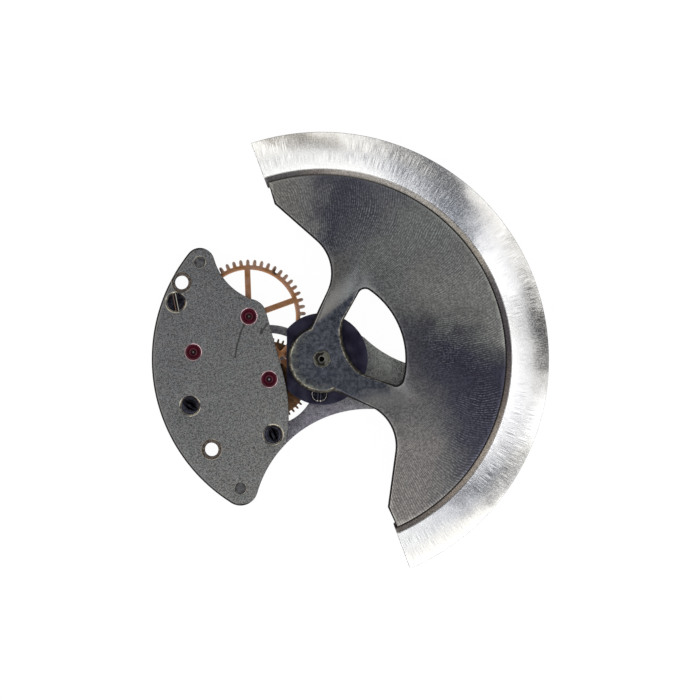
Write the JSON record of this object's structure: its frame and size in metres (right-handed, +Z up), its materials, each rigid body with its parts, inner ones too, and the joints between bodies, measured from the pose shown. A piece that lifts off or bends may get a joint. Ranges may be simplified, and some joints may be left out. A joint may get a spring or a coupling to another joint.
{
  "type": "automatic winding mechanism",
  "caption": "Watch winding module: half-disc rotor with a heavy rim on a plain axle, two reverser wheels and a reduction wheel under a jewelled bridge.",
  "frame": {"origin": "on the rotor's axis, in the seating plane of the lower plate", "axes": "+Z up along the rotor's axis, +X to the right in the picture; at rest the rotor's middle points 20.5 degrees from +X towards +Y"},
  "size_m": [0.0227, 0.025, 0.0024],
  "materials": {
    "web_steel": "dark steel, turned with fine curved lines",
    "rim_metal": "bright heavy metal, brushed across the rim",
    "bridge_nickel": "frosted nickel plating",
    "plate_nickel": "frosted dark nickel plating",
    "bearing_black": "black oxidised steel",
    "screw_steel": "blackened and polished steel",
    "pin_steel": "fine ground steel",
    "ruby": "polished synthetic ruby",
    "wheel_copper": "copper alloy, circular grained",
    "reverser_brass": "brown brass, circular grained",
    "bush_bronze": "turned bronze",
    "arbor_steel": "hardened and polished steel"
  },
  "bodies": {
    "bridge_frame": {"lower_plate": "plate_nickel", "upper_bridge": "bridge_nickel", "bridge_screws": "screw_steel", "steady_pins": "pin_steel", "reduction_upper_jewel": "ruby", "drive_upper_jewel": "ruby", "idler_upper_jewel": "ruby", "reduction_lower_jewel": "ruby", "drive_lower_jewel": "ruby", "idler_lower_jewel": "ruby", "bearing_plate": "bearing_black", "bearing_pillars": "arbor_steel", "bearing_screws": "screw_steel", "rotor_upper_bush": "bush_bronze", "rotor_lower_bush": "bush_bronze"},
    "rotor": {"rotor_axle": "arbor_steel", "rotor_pinion": "arbor_steel", "rotor_web": "web_steel", "rotor_rim": "rim_metal"},
    "reduction": {"reduction_wheel": "wheel_copper", "reduction_arbor": "arbor_steel"},
    "drive_reverser_wheel": {"drive_wheel": "reverser_brass", "drive_pawl_studs": "arbor_steel"},
    "drive_reverser_pinion": {"drive_pinion": "arbor_steel", "drive_ratchet": "arbor_steel"},
    "drive_first_pawl": {"drive_pawl_a": "arbor_steel"},
    "drive_second_pawl": {"drive_pawl_b": "arbor_steel"},
    "idler_reverser_wheel": {"idler_wheel": "reverser_brass", "idler_pawl_studs": "arbor_steel"},
    "idler_reverser_pinion": {"idler_pinion": "arbor_steel", "idler_ratchet": "arbor_steel"},
    "idler_first_pawl": {"idler_pawl_a": "arbor_steel"},
    "idler_second_pawl": {"idler_pawl_b": "arbor_steel"}
  },
  "joints": [
    {"name": "rotor_spin", "type": "hinge", "parent": "bridge_frame", "child": "rotor", "pos_m": [0, 0, 0], "axis": [0, 0, 1], "continuous": true},
    {"name": "reduction_spin", "type": "hinge", "parent": "bridge_frame", "child": "reduction", "pos_m": [-0.00418, 0.00244, 0], "axis": [0, 0, 1], "continuous": true},
    {"name": "drive_wheel_spin", "type": "hinge", "parent": "bridge_frame", "child": "drive_reverser_wheel", "pos_m": [-0.00302, -0.00116, 0], "axis": [0, 0, 1], "continuous": true},
    {"name": "drive_pinion_spin", "type": "hinge", "parent": "bridge_frame", "child": "drive_reverser_pinion", "pos_m": [-0.00302, -0.00116, 0], "axis": [0, 0, 1], "continuous": true},
    {"name": "idler_wheel_spin", "type": "hinge", "parent": "bridge_frame", "child": "idler_reverser_wheel", "pos_m": [-0.00737, 0.00039, 0], "axis": [0, 0, 1], "continuous": true},
    {"name": "idler_pinion_spin", "type": "hinge", "parent": "bridge_frame", "child": "idler_reverser_pinion", "pos_m": [-0.00737, 0.00039, 0], "axis": [0, 0, 1], "continuous": true},
    {"name": "drive_first_pawl_lift", "type": "hinge", "parent": "drive_reverser_wheel", "child": "drive_first_pawl", "pos_m": [-0.00229, 0.00015, 0], "axis": [0, 0, 1], "range_deg": [-4, 0]},
    {"name": "drive_second_pawl_lift", "type": "hinge", "parent": "drive_reverser_wheel", "child": "drive_second_pawl", "pos_m": [-0.00374, -0.00248, 0], "axis": [0, 0, 1], "range_deg": [-4, 0]},
    {"name": "idler_first_pawl_lift", "type": "hinge", "parent": "idler_reverser_wheel", "child": "idler_first_pawl", "pos_m": [-0.00833, 0.00154, 0], "axis": [0, 0, 1], "range_deg": [-8, 0]},
    {"name": "idler_second_pawl_lift", "type": "hinge", "parent": "idler_reverser_wheel", "child": "idler_second_pawl", "pos_m": [-0.0064, -0.00076, 0], "axis": [0, 0, 1], "range_deg": [-8, 0]}
  ],
  "couplings": [
    {"joint": "drive_wheel_spin", "follows": "rotor_spin", "ratio": -0.4},
    {"joint": "idler_wheel_spin", "follows": "rotor_spin", "ratio": 0.4},
    {"joint": "idler_pinion_spin", "follows": "rotor_spin", "ratio": 0.4},
    {"joint": "drive_pinion_spin", "follows": "rotor_spin", "ratio": 0.4},
    {"joint": "reduction_spin", "follows": "rotor_spin", "ratio": -0.089796}
  ]
}
